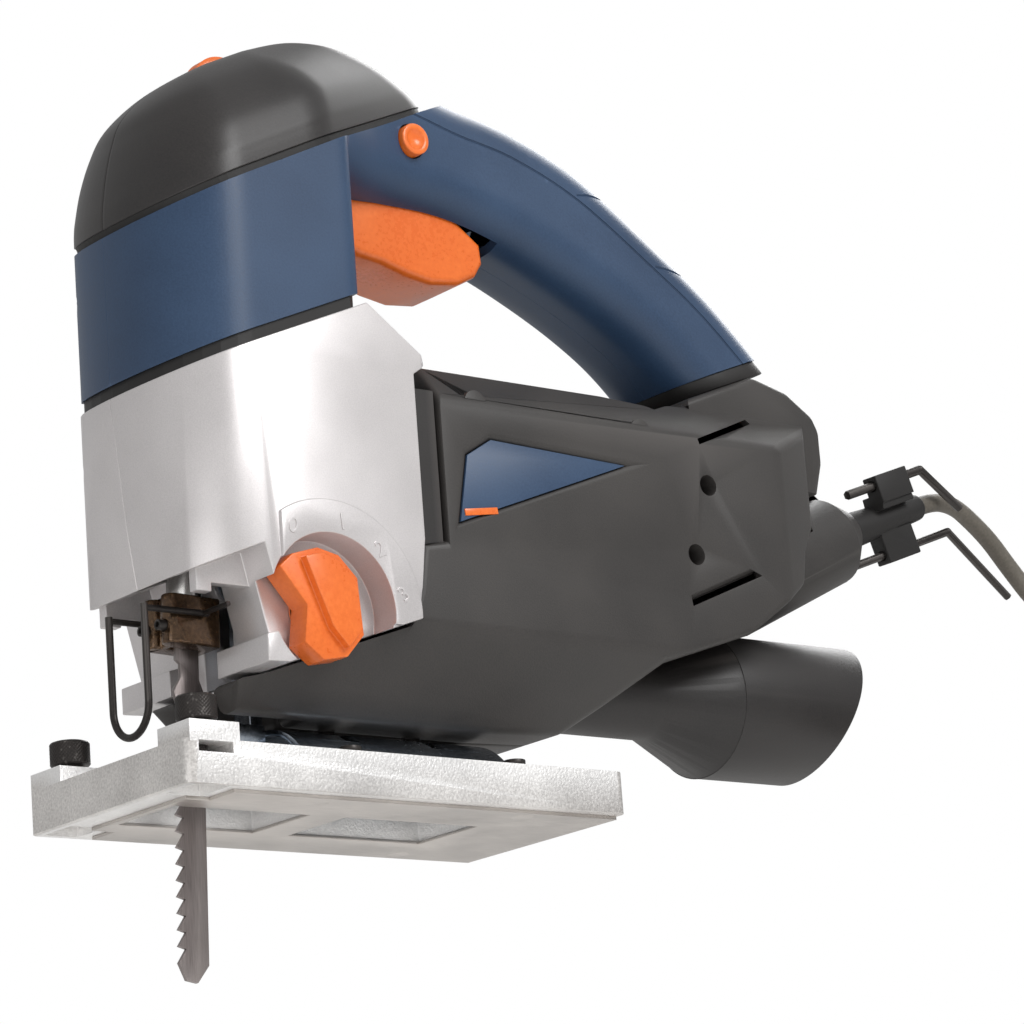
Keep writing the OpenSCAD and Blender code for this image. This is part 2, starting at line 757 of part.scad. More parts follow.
module blade_clamp() {
  color("#8a6b45") blade_frame() difference() {
    union() {
      translate([-7, -7.2, 47]) cube([14, 14.4, 14]);
      for (y = [-4.2, 4.2]) translate([7, y, 47]) cylinder(h = 14, r = 3, $fn = 48);
    }
    translate([-4.2, -0.8, 46]) cube([9.4, 1.6, 10.1]);
    translate([0, 0, 56]) cylinder(h = 6, r = plunger_r, $fn = 64);
    for (y = [-4.2, 4.2]) translate([6, y, 52]) rotate([0, 90, 0]) cylinder(h = 10, r = 1.5, $fn = 48);
  }
}

module clamp_screws() {
  color("#333333") blade_frame() for (y = [-4.2, 4.2]) difference() {
    translate([6, y, 52]) rotate([0, 90, 0]) cylinder(h = 6, r = 1.5, $fn = 48);
    translate([10.5, y, 52]) rotate([0, 90, 0]) cylinder(h = 2, r = 0.9, $fn = 6);
  }
}

module blade() {
  teeth = floor((blade_reach + 26) / tooth_pitch);
  back = -5.2;
  front = 2.6;
  tooth = 1.9;
  side = concat(
    [[back, 36], [-3.9, 39], [-3.9, 56], [3.6, 56], [3.6, 44], [2.2, 43], [2.2, 39], [front + tooth, 35]],
    [for (i = [0 : teeth - 1], k = [0, 1]) let (z = 27 - tooth_pitch * i)
      k == 0 ? [front - 0.6, z] : [front + tooth, z - tooth_pitch + 0.6]],
    [[front - 0.5, -blade_reach + 0.5], [-1.5, -blade_reach], [back, -blade_reach + 5]]);
  color("#6e6a68") blade_frame() translate([0, blade_t / 2, 0]) rotate([90, 0, 0]) linear_extrude(blade_t) polygon(side);
}

fork_x = -22;
fork_z = 68;
roller_z = 21;
roller_r = 5;
roller_x = -6.2 - 0.3 - roller_r;

module roller_fork() {
  color("gainsboro") difference() {
    union() {
      translate([-23.5, -4, 17]) cube([4, 8, fork_z - 17]);
      for (s = [-1, 1]) translate([-23.5, s > 0 ? 3.3 : -5, 15.5]) cube([13.5, 1.7, 11]);
      rod_y(-5.5, 5.5, fork_x, fork_z, 4.5);
      rod_y(-5, 5, roller_x, roller_z, 2);
    }
    rod_y(-6, 6, fork_x, fork_z, 2.5 + fit);
  }
}

module fork_pin() {
  color("lightgray") rod_y(-14, 14, fork_x, fork_z, 2.5);
}

module guide_roller() {
  color("#6f7276") difference() {
    rod_y(-3, 3, roller_x, roller_z, roller_r);
    rod_y(-4, 4, roller_x, roller_z, 2 + fit);
    difference() {
      rod_y(-0.9, 0.9, roller_x, roller_z, roller_r + 1);
      rod_y(-1, 1, roller_x, roller_z, roller_r - 0.6);
    }
  }
}

module orbital_lever() {
  color("#f26a22") difference() {
    union() {
      rod_y(dial_floor_y + 0.3, 33, lever_x, lever_z, 9);
      translate([0, 36.5, 0]) rotate([90, 0, 0]) linear_extrude(8) polygon([[-9, 63], [-13.5, 67], [-22, 69.5],
        [-29, 68], [-35, 62], [-36, 46], [-30, 39.5], [-22, 38], [-16, 42.5], [-17.5, 53]]);
      translate([0, 39, 0]) rotate([90, 0, 0]) linear_extrude(4) polygon([[-16, 66], [-22, 67.5], [-28, 65.5],
        [-33, 60], [-34, 47], [-29, 41.5], [-24, 47]]);
    }
    rod_y(20, 34, lever_x, lever_z, lever_shaft_r);
  }
}

module orbital_shaft() {
  color("lightgray") union() {
    rod_y(7.5, 34, lever_x, lever_z, lever_shaft_r);
    rod_y(-8, 8, lever_x, lever_z, 1.7);
  }
}

// ---------- controls ----------

module trigger() {
  color("#f26a22") difference() {
    slab_y([[-50, 194], [-50, 178], [-55, 170], [-62, 167], [-70, 166], [-79, 163.5], [-88, 162], [-98, 163],
      [-105, 166.5], [-108, 171], [-107.5, 177], [-98, 184], [-90, 189], [-62, 193], [-58, 197], [-53, 197]], 12.5);
    rod_y(-20, 20, -54, 193, 1.5 + fit);
    rod_y(9, 20, -74, 187, 3);
  }
}

module lock_button() {
  color("#f26a22") difference() {
    union() {
      rod_y(12.6, 24.5, -76, 201, 4.8);
      rod_y(12.6, 14.4, -76, 201, 6.2);
    }
    translate([-76, 27.5, 201]) sphere(r = 4.4, $fn = 48);
  }
}

module speed_dial() {
  color("#f26a22") difference() {
    rod_y(-3, 3, dial_axis[0], dial_axis[1], 11);
    rod_y(-4, 4, dial_axis[0], dial_axis[1], 1.5);
  }
}

module switch_block() {
  color("#2f2f33") union() {
    translate([-98, -8, 195.5]) cube([30, 16, 15]);
    translate([-80, -3, 194.6]) cube([5, 6, 2]);
  }
}

module speed_board() {
  color("darkgreen") union() {
    translate([-34, -16, 186]) cube([38, 32, 1.6]);
    for (s = [-1, 1]) translate([dial_axis[0] - 4, s > 0 ? 3.4 : -5.4, 187]) cube([8, 2, 29]);
    rod_y(-4, 4, dial_axis[0], dial_axis[1], 1.5 - fit);
  }
}

module capacitor() {
  color("gold") translate([-200, -12, 104]) cube([22, 8, 18]);
}

// ---------- dust and cord ----------

module dust_duct() {
  color("#2a2a2c") difference() {
    union() {
      translate([-134, -9, 38.2]) cube([67.5, 18, 10]);
      rod_x(-152, -130, 0, nozzle_z, 9.9);
    }
    translate([-132, -7.5, 39.7]) cube([90, 15, 7]);
    rod_x(-160, -131.5, 0, nozzle_z, 8.2);
  }
}

module nozzle_form(r_neck, r_wide, x_front) {
  rod_x(-166, x_front, 0, nozzle_z, r_neck);
  translate([-166, 0, nozzle_z]) rotate([0, -90, 0]) cylinder(h = 23, r1 = r_neck, r2 = r_wide, $fn = 96);
  rod_x(-262, -188.9, 0, nozzle_z, r_wide);
}

module dust_nozzle() {
  color("#2a2a2c") difference() {
    nozzle_form(12, nozzle_r, -134);
    nozzle_form(10, nozzle_r - nozzle_wall, -120);
    // oblique open end
    slab_y([[-223, 20], [-248, 70], [-290, 70], [-290, 20]], 30);
  }
}

module cord_sleeve() {
  color("#222222") difference() {
    union() {
      rod_rising(sleeve_start, sleeve_dir, sleeve_len, sleeve_r);
      for (s = [-1, 1]) translate([sleeve_end[0], 0, sleeve_end[1]]) rotate([0, 90 + sleeve_dir, 0]) {
        translate([s > 0 ? -14 : 5, s > 0 ? 3 : -3, 8]) cube([9, 6, 15]);
        if (s > 0) translate([-8, 0, 8]) cube([5, 8, 15]);
      }
    }
    rod_rising([sleeve_start[0] + 20, sleeve_start[1] - 7.28], sleeve_dir, 90, cord_d / 2);
    key_bores();
  }
}

// The keys' long arms run along the sleeve, one above it and one below
module key_frame() {
  translate([sleeve_end[0], 0, sleeve_end[1]]) rotate([0, 90 + sleeve_dir, 0]) children();
}

module key_bores() {
  key_frame() {
    translate([-11, 6, -10]) cylinder(h = 60, r = 1.75, $fn = 48);
    translate([11, 0, -20]) cylinder(h = 60, r = 1.55, $fn = 48);
  }
}

module hex_key(off, y, back, len, r, arm, bend) {
  color("#3a3a3a") key_frame() translate([off, y, back]) union() {
    cylinder(h = len, r = r, $fn = 6);
    rotate([0, bend, 0]) cylinder(h = arm, r = r, $fn = 6);
    sphere(r = r, $fn = 24);
  }
}

module hex_key_upper() { hex_key(-11, 6, -1, 36, 1.5, 20, 126); }
module hex_key_lower() { hex_key(11, 0, -10, 46, 1.35, 32, 122); }

module cord_tail() {
  color("#5b564f") rod_rising([-214, 90.7], sleeve_dir, 82.3, cord_d / 2);
}

module cord_clamp() {
  color("#2f2f33") difference() {
    translate([-226, -5.5, 86.5]) cube([9, 11, 10.5]);
    rod_rising([-205, 87.42], sleeve_dir, 40, cord_d / 2);
  }
}

module wire_guard() {
  wire = 1.05;
  guard_y = 8.7;
  color("#3a3432") union() {
    for (s = [-1, 1]) {
      translate([17, s * guard_y, 30]) cylinder(h = 26.7, r = wire, $fn = 32);
      rod_x(-4, 17, s * guard_y, 55.6, wire - 0.15);
      rod_y(s > 0 ? guard_y : -20.7, s > 0 ? 20.7 : -guard_y, -2.5, 55.6, wire - 0.3);
    }
    intersection() {
      translate([17, 0, 30]) rotate([0, 90, 0]) rotate_extrude($fn = 64) translate([guard_y, 0])
        circle(r = wire, $fn = 32);
      translate([0, -20, 10]) cube([40, 40, 20]);
    }
  }
}

// Tube swept along a list of points
function unit(v) = v / norm(v);
function frames(pts) = [for (i = [0 : len(pts) - 1])
  let (a = pts[max(i - 1, 0)], b = pts[min(i + 1, len(pts) - 1)], t = unit(b - a),
       s = unit(cross([0, 1, 0.001], t)), n = cross(t, s)) [pts[i], s, n]];
module tube(pts, r, sides) {
  rings = frames(pts);
  count = len(pts);
  points = [for (f = rings, k = [0 : sides - 1]) let (a = 360 * k / sides) f[0] + r * cos(a) * f[1] + r * sin(a) * f[2]];
  walls = [for (i = [0 : count - 2], k = [0 : sides - 1]) let (j = (k + 1) % sides)
    [i * sides + k, i * sides + j, (i + 1) * sides + j, (i + 1) * sides + k]];
  polyhedron(points, concat(walls, [[for (k = [sides - 1 : -1 : 0]) k]],
    [[for (k = [0 : sides - 1]) (count - 1) * sides + k]]));
}

module cord_flex() {
  color("#8a8073") {
    tube(cord_points, cord_d / 2, 10);
    tube(tail_points, cord_d / 2, 10);
  }
}

module cord_coil() {
  inner = coil_r - coil_rows * cord_d / 2;
  color("#8a8073") translate([coil_centre[0], coil_centre[1], 0]) rotate_extrude($fn = 96)
    translate([inner, 0]) square([coil_rows * cord_d, coil_top]);
}

module plug_body() {
  color("#222222") union() {
    rod_x(plug_x - 19, plug_x + 2, plug_y, boot_z, 4.5);
    rod_x(plug_x, plug_x + 34, plug_y, plug_z, plug_r);
  }
}

module plug_pins() {
  color("silver") for (s = [-1, 1]) rod_x(plug_x + 34, plug_x + 53, plug_y + s * 9.5, plug_z, 2.4);
}

base_plate();
sole_sheet();
bevel_bracket();
bracket_screws();
thumb_screw_left();
thumb_screw_right();
cap_left();
cap_right();
grip_left();
grip_right();
gear_housing_left();
gear_housing_right();
motor_housing_left();
motor_housing_right();
upper_seam_strip();
lower_seam_strip();
handle_ring();
side_panels();
housing_screws();
bevel_clamp_screws();
stator_core();
field_coils();
front_bearing();
rear_bearing();
brush_holders();
carbon_brushes();
gear_plate();
gear_pin();
plunger_bushes();
fork_pin();
switch_block();
speed_board();
capacitor();
cord_clamp();
cord_sleeve();
cord_tail();
wire_guard();
dust_duct();
armature();
fan();
drive_gear();
plunger();
blade_clamp();
clamp_screws();
blade();
roller_fork();
guide_roller();
orbital_lever();
orbital_shaft();
trigger();
lock_button();
speed_dial();
dust_nozzle();
hex_key_upper();
hex_key_lower();
cord_flex();
cord_coil();
plug_body();
plug_pins();
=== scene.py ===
# %% [markdown]
# # A corded jigsaw, dressed piece by piece
# The imported model is the skeleton: every solid is already in its place and on its joint. This lesson
# loads it, makes the smooth moulded shells over it, and gives each surface the finish of its real stuff.

# %% Load the imported model
import json
import math
import bmesh
import bpy
from mathutils import Matrix, Vector

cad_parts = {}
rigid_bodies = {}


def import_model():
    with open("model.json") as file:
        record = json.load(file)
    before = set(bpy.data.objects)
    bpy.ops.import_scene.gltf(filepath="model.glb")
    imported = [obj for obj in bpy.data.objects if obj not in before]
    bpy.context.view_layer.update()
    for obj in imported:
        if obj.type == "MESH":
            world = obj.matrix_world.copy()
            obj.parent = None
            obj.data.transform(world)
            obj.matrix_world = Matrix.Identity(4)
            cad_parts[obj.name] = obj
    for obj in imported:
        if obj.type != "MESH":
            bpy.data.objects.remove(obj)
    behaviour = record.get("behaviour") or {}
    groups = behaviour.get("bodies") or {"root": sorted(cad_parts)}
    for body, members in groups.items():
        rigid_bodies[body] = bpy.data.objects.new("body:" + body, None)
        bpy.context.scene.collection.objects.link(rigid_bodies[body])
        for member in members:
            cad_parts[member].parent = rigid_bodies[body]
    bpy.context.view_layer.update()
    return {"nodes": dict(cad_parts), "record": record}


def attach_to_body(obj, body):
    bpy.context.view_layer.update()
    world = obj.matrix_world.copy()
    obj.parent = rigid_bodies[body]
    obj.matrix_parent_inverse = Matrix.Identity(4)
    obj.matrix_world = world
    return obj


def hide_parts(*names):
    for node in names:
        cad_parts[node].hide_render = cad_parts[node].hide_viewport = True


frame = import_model()
nodes = frame["nodes"]

# %% [markdown]
# ## Camera
# The tool is seen from its left front and from a little below the sole, with a long lens, so its edges
# hardly converge. The camera is turned by its own three axes.

# %% Camera
lens_data = bpy.data.cameras.new("long_lens")
lens_data.lens = 140.05
lens_data.sensor_width = 36.0
lens_data.clip_start = 0.05
camera = bpy.data.objects.new("camera", lens_data)
bpy.context.scene.collection.objects.link(camera)
right = Vector((-0.7806, 0.6206, -0.0737))
up = Vector((0.1025, 0.2434, 0.9645))
back = Vector((0.6165, 0.7454, -0.2536))
turn = Matrix((right, up, back)).transposed().to_4x4()
camera.matrix_world = Matrix.Translation((0.6067, 0.8806, -0.2004)) @ turn
bpy.context.scene.camera = camera
print("camera", tuple(round(v, 3) for v in camera.location))

# %% [markdown]
# ## Small helpers
# All sizes are typed in millimetres, as on a drawing, and turned to metres once. An operator works on
# everything that is selected, so each step starts from an empty selection.

# %% Helpers for selection and units
MM = 0.001


def mm(*values):
    return tuple(v * MM for v in values)


def pick(*objects):
    if bpy.context.object and bpy.context.object.mode != "OBJECT":
        bpy.ops.object.mode_set(mode="OBJECT")
    for other in bpy.context.view_layer.objects:
        other.select_set(False)
    for obj in objects:
        obj.select_set(True)
    if objects:
        bpy.context.view_layer.objects.active = objects[0]


def settle(obj, name):
    """Names a new piece and puts its place into its mesh."""
    pick(obj)
    bpy.ops.object.transform_apply(location=True, rotation=True, scale=True)
    obj.name = name
    obj.data.name = name
    return obj


def use(obj, kind, **settings):
    """Adds a modifier with its settings and applies it."""
    modifier = obj.modifiers.new(kind.lower(), kind)
    for key, value in settings.items():
        setattr(modifier, key, value)
    pick(obj)
    bpy.ops.object.modifier_apply(modifier=modifier.name)


def smooth(obj, degrees=35):
    pick(obj)
    bpy.ops.object.shade_smooth_by_angle(angle=math.radians(degrees))


# %% [markdown]
# ## The mains cord
# A jigsaw has about two metres of 6 mm cord. It leaves the strain relief, sinks under its own weight and
# is put away as a neat coil of two layers behind the tool. The coil's turns are made by a loop: four
# turns spiral in on the floor, the inmost one climbs, and four spiral out on top of them.

# %% Route of the cord
def smooth_route(points, pieces=4):
    """Catmull-Rom curve through the points."""
    out = []
    for i in range(len(points) - 1):
        a, b = points[i], points[i + 1]
        before = points[i - 1] if i else a + (a - b)
        after = points[i + 2] if i + 2 < len(points) else b + (b - a)
        for k in range(pieces):
            t = k / pieces
            out.append(0.5 * (2 * a + (b - before) * t + (2 * before - 5 * a + 4 * b - after) * t * t
                              + (3 * a - before - 3 * b + after) * t * t * t))
    return out + [points[-1]]


hanging = [(-291.35, 0, 118.85), (-298, -0.3, 120.9), (-305, -1.4, 122), (-312.5, -3.2, 121.6),
           (-320.5, -5, 118.8), (-330, -6.2, 113), (-338.5, -6, 104), (-345.5, -3.5, 94),
           (-351, 2.7, 84.5), (-355.5, 12, 75), (-359, 20.5, 65), (-361.5, 28.6, 53),
           (-363.5, 35.3, 40.5), (-365.2, 42, 28), (-366, 48.5, 16.5), (-366, 55.5, 9.5),
           (-366, 64, 5), (-366, 73, 3)]
to_plug = [(-360, 73, 18.3), (-359.1, 80, 20.7), (-356.4, 86.5, 22.9), (-352.1, 92.1, 24.9),
           (-346.5, 96.4, 26.4), (-340, 99.1, 27.3), (-333, 100, 27.5), (-326, 100, 27.5)]


def ease(t):
    t = min(max(t, 0.0), 1.0)
    return t * t * (3 - 2 * t)


def coil_point(wound):
    """Point of the coil after so many degrees of winding."""
    turn_no, part = divmod(wound, 360)
    across = 6 * ease((part - 180) / 180)
    if turn_no < 3:
        radius = 45 - 6 * turn_no - across
    elif turn_no == 3:
        radius = 27
    else:
        radius = min(27 + 6 * (turn_no - 4) + across, 39)
    height = 3 + 6 * ease((wound - 1200) / 180)
    if wound > 2460:
        height += 18.5 * ease(math.radians(wound - 2460) * 39 / 81.3)
    angle = math.radians(180 - wound)
    return Vector((-321 + radius * math.cos(angle), 73 + radius * math.sin(angle), height))


last_wound = 7 * 360
route = smooth_route([Vector(p) for p in hanging])
route += [coil_point(w) for w in range(12, last_wound, 12)]
route += smooth_route([Vector(p) for p in to_plug])
route = [p * MM for p in route]

# %% Cord as a round curve
cord_data = bpy.data.curves.new("mains_cord", "CURVE")
cord_data.dimensions = "3D"
cord_data.bevel_depth = 1
cord_data.bevel_resolution = 4
cord_data.use_fill_caps = True
strand = cord_data.splines.new("POLY")
strand.points.add(len(route) - 1)
for point, place in zip(strand.points, route):
    point.co = (*place, 1)
    point.radius = 3 * MM
mains_cord = bpy.data.objects.new("mains_cord", cord_data)
bpy.context.scene.collection.objects.link(mains_cord)
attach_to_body(mains_cord, "housing")
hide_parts("cord_flex", "cord_coil")

# %% [markdown]
# ## Finishes
# Every surface starts from its real stuff. A moulded plastic takes its grain from the tool it was moulded
# in, a casting from the blasting grit, and a rolled strip from the rolls. So each finish has a grain size
# in millimetres, a relief, a range of roughness and two near shades, and broad soft blotches that keep a
# large face from looking like paper. Edges that hands and benches rub may show a worn shade.

# %% Colour and node helpers
def linear(hex_colour):
    parts = [int(hex_colour[i:i + 2], 16) / 255 for i in (1, 3, 5)]
    return (*(c / 12.92 if c <= 0.04045 else ((c + 0.055) / 1.055) ** 2.4 for c in parts), 1.0)


def add(tree, kind, links=None, values=None, **settings):
    """Adds one node with its settings, its socket values and the outputs that feed it."""
    node = tree.nodes.new(kind)
    for key, value in settings.items():
        setattr(node, key, value)
    for socket, value in (values or {}).items():
        node.inputs[socket].default_value = value
    for socket, source in (links or {}).items():
        tree.links.new(source, node.inputs[socket])
    return node


def surface(name, light, dark, grain, relief, rough, metallic=0.0, stretch=(1, 1, 1), worn=None, coat=0.0):
    """A finish: grain and relief in mm, roughness as its lowest and highest, shades as sRGB hex."""
    material = bpy.data.materials.new(name)
    material.use_nodes = True
    tree = material.node_tree
    shader = tree.nodes["Principled BSDF"]
    shader.inputs["Metallic"].default_value = metallic
    shader.inputs["Coat Weight"].default_value = coat
    place = add(tree, "ShaderNodeTexCoord").outputs["Object"]
    drawn = add(tree, "ShaderNodeMapping", {"Vector": place}, {"Scale": stretch})
    fine = add(tree, "ShaderNodeTexNoise", {"Vector": drawn.outputs["Vector"]},
               {"Scale": 1 / (grain * MM), "Detail": 3.0})
    broad = add(tree, "ShaderNodeTexNoise", {"Vector": place}, {"Scale": 1 / (28 * MM), "Detail": 2.0})
    both = add(tree, "ShaderNodeMath", {0: fine.outputs["Fac"], 1: broad.outputs["Fac"]}, operation="ADD")
    share = add(tree, "ShaderNodeMapRange", {"Value": both.outputs["Value"]}, {"From Min": 0.7, "From Max": 1.3})
    shade = add(tree, "ShaderNodeMix", {"Factor": share.outputs["Result"]}, data_type="RGBA")
    shade.inputs[6].default_value = linear(dark)
    shade.inputs[7].default_value = linear(light)
    colour = shade.outputs[2]
    if worn:
        edge = add(tree, "ShaderNodeNewGeometry").outputs["Pointiness"]
        rubbed = add(tree, "ShaderNodeMapRange", {"Value": edge}, {"From Min": 0.53, "From Max": 0.62, "To Max": 0.6})
        mixed = add(tree, "ShaderNodeMix", {"Factor": rubbed.outputs["Result"], 6: colour}, data_type="RGBA")
        mixed.inputs[7].default_value = linear(worn)
        colour = mixed.outputs[2]
    tree.links.new(colour, shader.inputs["Base Color"])
    gloss = add(tree, "ShaderNodeMapRange", {"Value": both.outputs["Value"]},
                {"From Min": 0.6, "From Max": 1.4, "To Min": rough[0], "To Max": rough[1]})
    tree.links.new(gloss.outputs["Result"], shader.inputs["Roughness"])
    bump = add(tree, "ShaderNodeBump", {"Height": fine.outputs["Fac"]}, {"Distance": relief * MM})
    tree.links.new(bump.outputs["Normal"], shader.inputs["Normal"])
    return material


# %% [markdown]
# The shells are glass-filled nylon and ABS, which are matt to satin. The silver shell is sprayed with a
# metallic lacquer: half metal to the eye, with a fine flake. The base is a blasted aluminium casting whose
# grit sparkles, so its grain is drawn as coarse as it needs to show.

# %% Plastics, rubbers and lacquer
finishes = {
    "charcoal_shell": surface("glass_filled_nylon_charcoal", "#3d3a38", "#2f2d2c", 0.5, 0.05, (0.42, 0.6),
                              worn="#5a5654"),
    "black_cap": surface("satin_abs_black", "#322f2e", "#272525", 0.6, 0.02, (0.34, 0.46), worn="#4a4644"),
    "blue_shell": surface("satin_abs_blue", "#2f4765", "#253b57", 0.6, 0.025, (0.36, 0.5), worn="#4c6484"),
    "orange_plastic": surface("gloss_abs_orange", "#f0782e", "#e2661f", 1.2, 0.01, (0.24, 0.36), coat=0.15),
    "silver_shell": surface("metallic_lacquer_silver", "#dedada", "#cdc9c9", 0.35, 0.03, (0.3, 0.42),
                            metallic=0.55),
    "black_rubber": surface("moulded_rubber_black", "#1f1d1c", "#161515", 0.5, 0.03, (0.5, 0.68)),
    "black_plastic": surface("moulded_nylon_black", "#2b2827", "#201e1e", 0.5, 0.035, (0.36, 0.5),
                             worn="#4a4644"),
    "cord_rubber": surface("cord_rubber_grey_brown", "#6c665d", "#57524a", 0.9, 0.05, (0.5, 0.66)),
    "foil_yellow": surface("capacitor_case_yellow", "#d9a92e", "#c4941f", 1.0, 0.01, (0.3, 0.4)),
    "circuit_board": surface("epoxy_laminate_green", "#1f6b3a", "#17552d", 0.8, 0.01, (0.3, 0.4)),
}
print("plastics and rubbers:", len(finishes))

# %% Metals
finishes.update({
    "cast_base": surface("blasted_aluminium_casting", "#efece9", "#bdb9b6", 0.7, 0.16, (0.34, 0.56),
                         metallic=0.75, worn="#ffffff"),
    "sole_steel": surface("rolled_steel_sheet", "#d5cfca", "#bdb7b2", 0.5, 0.02, (0.28, 0.42), metallic=0.9,
                          stretch=(0.06, 1, 1)),
    "zinc_steel": surface("bright_zinc_plate", "#d3dae2", "#a9b3bf", 1.2, 0.02, (0.16, 0.3), metallic=1.0),
    "dark_steel": surface("black_oxide_steel", "#3b3735", "#2a2726", 0.5, 0.02, (0.3, 0.45), metallic=0.6,
                          worn="#6b6764"),
    "bright_steel": surface("ground_steel", "#c9c8c6", "#aeadab", 0.3, 0.01, (0.18, 0.3), metallic=1.0),
    "clamp_steel": surface("phosphated_steel_brown", "#7d6248", "#4a382a", 1.0, 0.03, (0.18, 0.34),
                           metallic=0.8, coat=0.3),
    "blade_steel": surface("rolled_saw_strip", "#968d8b", "#7a7270", 0.35, 0.03, (0.26, 0.44), metallic=0.85,
                           stretch=(1, 1, 0.05), worn="#c8c2c0"),
    "lamination": surface("stacked_electrical_sheet", "#7c8087", "#4c4f55", 0.5, 0.1, (0.35, 0.5),
                          metallic=0.8, stretch=(1, 0.02, 0.02)),
    "copper": surface("varnished_copper_wire", "#c9763c", "#7d3f1c", 0.6, 0.2, (0.2, 0.35), metallic=0.9,
                      stretch=(0.03, 1, 1)),
    "bronze": surface("sintered_bronze", "#b58d4e", "#8c6a35", 0.4, 0.05, (0.35, 0.5), metallic=0.9),
    "carbon": surface("pressed_graphite", "#2b2b2c", "#1d1d1e", 0.4, 0.02, (0.4, 0.55), metallic=0.2),
})
print("finishes:", len(finishes))

# %% [markdown]
# Each solid of the model says in the record which finish it takes. The record also says which body moves
# it, so both are looked up and never typed again.

# %% Give every solid its finish
record = frame["record"]
slot_of = {row["node"]: row["material_slot"] for row in record["subparts"]}
body_of = {name: body for body, names in record["behaviour"]["bodies"].items() for name in names}


def paint(obj, slot):
    if obj.data.materials:
        obj.data.materials[0] = finishes[slot]
    else:
        obj.data.materials.append(finishes[slot])


for name, solid in nodes.items():
    paint(solid, slot_of[name])
paint(mains_cord, "cord_rubber")
print("painted", len(nodes))

# %% [markdown]
# ## Working on a copy of a solid
# A mould or a press never leaves a knife-sharp edge. Where a solid already has the right shape, a copy of
# it is merged, its flat faces are joined again, and its edges are rounded. The copy stands for the solid.

# %% Helpers for copies
def claim(obj, *names):
    """Lets a piece stand for solids: their body, finish and place in the table."""
    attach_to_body(obj, body_of[names[0]])
    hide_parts(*names)
    paint(obj, slot_of[names[0]])
    return obj


def attach(obj, body, slot):
    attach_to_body(obj, body)
    paint(obj, slot)
    return obj


def edit(obj):
    pick(obj)
    bpy.ops.object.mode_set(mode="EDIT")
    bpy.ops.mesh.select_all(action="SELECT")


def leave():
    bpy.ops.object.mode_set(mode="OBJECT")


def taken(node, piece):
    obj = bpy.data.objects.new(piece, nodes[node].data.copy())
    bpy.context.scene.collection.objects.link(obj)
    pick(obj)
    bpy.ops.mesh.customdata_custom_splitnormals_clear()
    edit(obj)
    bpy.ops.mesh.remove_doubles(threshold=0.01 * MM)
    bpy.ops.mesh.dissolve_limited(angle_limit=math.radians(0.4))
    leave()
    return claim(obj, node)


def box_of(obj):
    places = [v.co for v in obj.data.vertices]
    return [end(p[axis] for p in places) for axis in range(3) for end in (min, max)]


def rounded(obj, width, segments=2, fold=32, blend=40):
    """Rounds the folded edges, and takes a smaller radius where this one would throw a point outside."""
    before, spare = box_of(obj), obj.data.copy()
    for share, slide in ((1, True), (1, False), (0.6, False), (0.35, False), (0.2, False), (0.1, False)):
        use(obj, "BEVEL", width=width * share * MM, segments=segments, limit_method="ANGLE",
            angle_limit=math.radians(fold), use_clamp_overlap=False, loop_slide=slide)
        if all(abs(a - b) < 0.2 * MM for a, b in zip(before, box_of(obj))):
            break
        print("not", obj.name, round(width * share, 2), slide)
        obj.data = spare.copy()
    else:
        use(obj, "BEVEL", width=width * MM, segments=segments, limit_method="ANGLE",
            angle_limit=math.radians(fold), use_clamp_overlap=True, loop_slide=False)
    smooth(obj, blend)
    return obj


def soften(obj, width, shortest, low, high, segments=4):
    """Rounds only the long outside edges that fold between two angles."""
    edit(obj)
    bpy.ops.mesh.select_all(action="DESELECT")
    bpy.ops.mesh.select_mode(type="EDGE")
    mesh = bmesh.from_edit_mesh(obj.data)
    chosen = 0
    for side in mesh.edges:
        if len(side.link_faces) != 2 or not side.is_convex or side.calc_length() < shortest * MM:
            continue
        if low < math.degrees(side.calc_face_angle()) < high:
            side.select_set(True)
            chosen += 1
    bmesh.update_edit_mesh(obj.data)
    if chosen:
        bpy.ops.mesh.bevel(offset=width * MM, segments=segments, affect="EDGES", clamp_overlap=False)
    leave()
    print(obj.name, "edges softened:", chosen)


# %% [markdown]
# The table gives each copied solid the radius of its edges in millimetres: generous on castings and
# mouldings, a hair's breadth on sheet metal and on the blade.

# %% Round the edges of the copied solids
edge_radius = {
    "base_plate": 0.7, "sole_sheet": 0.15, "bevel_bracket": 0.3, "bracket_screws": 0.25,
    "gear_housing_left": 0.6, "gear_housing_right": 0.6, "side_panels": 0.15, "handle_ring": 0.4,
    "blade_clamp": 0.6, "blade": 0.1, "roller_fork": 0.25, "guide_roller": 0.25, "plunger": 0.3,
    "orbital_lever": 0.9, "lock_button": 0.5, "dust_nozzle": 0.6, "housing_screws": 0.15,
    "bevel_clamp_screws": 0.3, "plug_pins": 0.7, "cord_clamp": 0.5, "hex_key_upper": 0.1,
    "hex_key_lower": 0.1, "clamp_screws": 0.1,
}
for name, radius in edge_radius.items():
    rounded(taken(name, name + "_finished"), radius, 3 if radius > 0.4 else 2)

# %% [markdown]
# The motor housing is a soft-edged nylon moulding: its long folds are rolled over some millimetres, and its
# slots and rims only a little. The trigger is rounded like a sweet, because a finger lies on it.

# %% Motor housing and trigger
for name in ("motor_housing_left", "motor_housing_right"):
    moulding = taken(name, name + "_finished")
    soften(moulding, 2.2, 9, 15, 100)
    rounded(moulding, 0.3)
trigger = taken("trigger", "trigger_finished")
soften(trigger, 2.4, 2.5, 60, 120, 5)
smooth(trigger, 60)

# %% [markdown]
# ## Smooth shells from sections
# The cap and the handle are free curved forms. A grid is added, and each of its points is laid on the form
# by a formula that takes how far across and how far along it is. The same few sections as in the solid
# drive the formula, joined by a smooth curve, so the shell has no facets.

